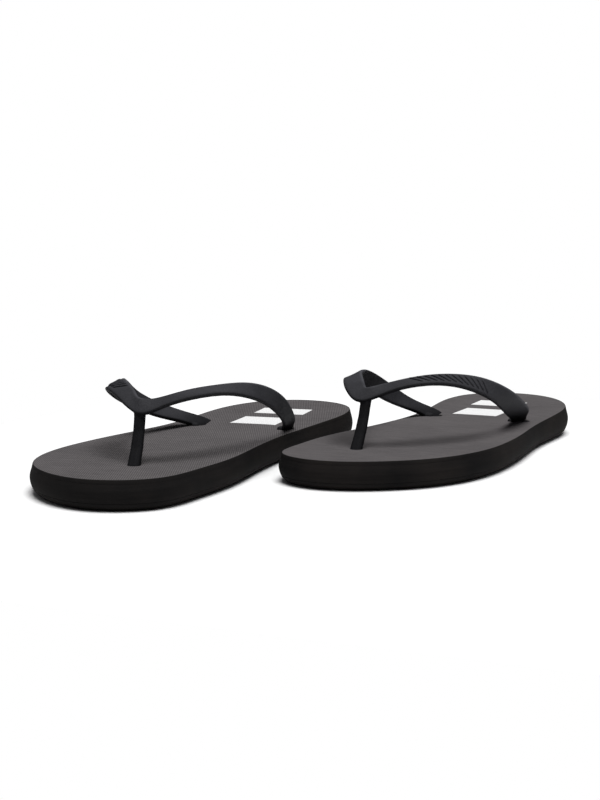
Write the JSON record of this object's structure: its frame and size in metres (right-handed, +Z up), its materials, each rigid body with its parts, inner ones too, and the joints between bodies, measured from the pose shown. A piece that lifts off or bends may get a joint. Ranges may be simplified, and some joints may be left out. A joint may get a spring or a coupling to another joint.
{
  "type": "flip flop",
  "caption": "Pair of flat thong sandals with a toe post, a Y-shaped moulded strap anchored through the sole, and a layered foam sole with a low heel wedge.",
  "frame": {"origin": "on the floor, at the centre of the pair's bounding box", "axes": "+Z up, +Y toward the toes, along the mean direction of the pair, +X toward the wearer's right"},
  "size_m": [0.2002, 0.3692, 0.0489],
  "materials": {
    "outsole_rubber": "matte",
    "midsole_foam": "matte",
    "footbed_foam": "matte, fine embossed",
    "strap_rubber": "satin",
    "print_film": "matte"
  },
  "bodies": {
    "left_flip_flop": {"left_outsole": "outsole_rubber", "left_midsole": "midsole_foam", "left_footbed": "footbed_foam", "left_strap": "strap_rubber", "left_heel_print": "print_film"},
    "right_flip_flop": {"right_outsole": "outsole_rubber", "right_midsole": "midsole_foam", "right_footbed": "footbed_foam", "right_strap": "strap_rubber", "right_heel_print": "print_film"}
  },
  "joints": [
    {"name": "right_lift", "type": "slide", "parent": "left_flip_flop", "child": "right_flip_flop", "axis": [0, 0, 1], "range_m": [0, 0.3]}
  ]
}
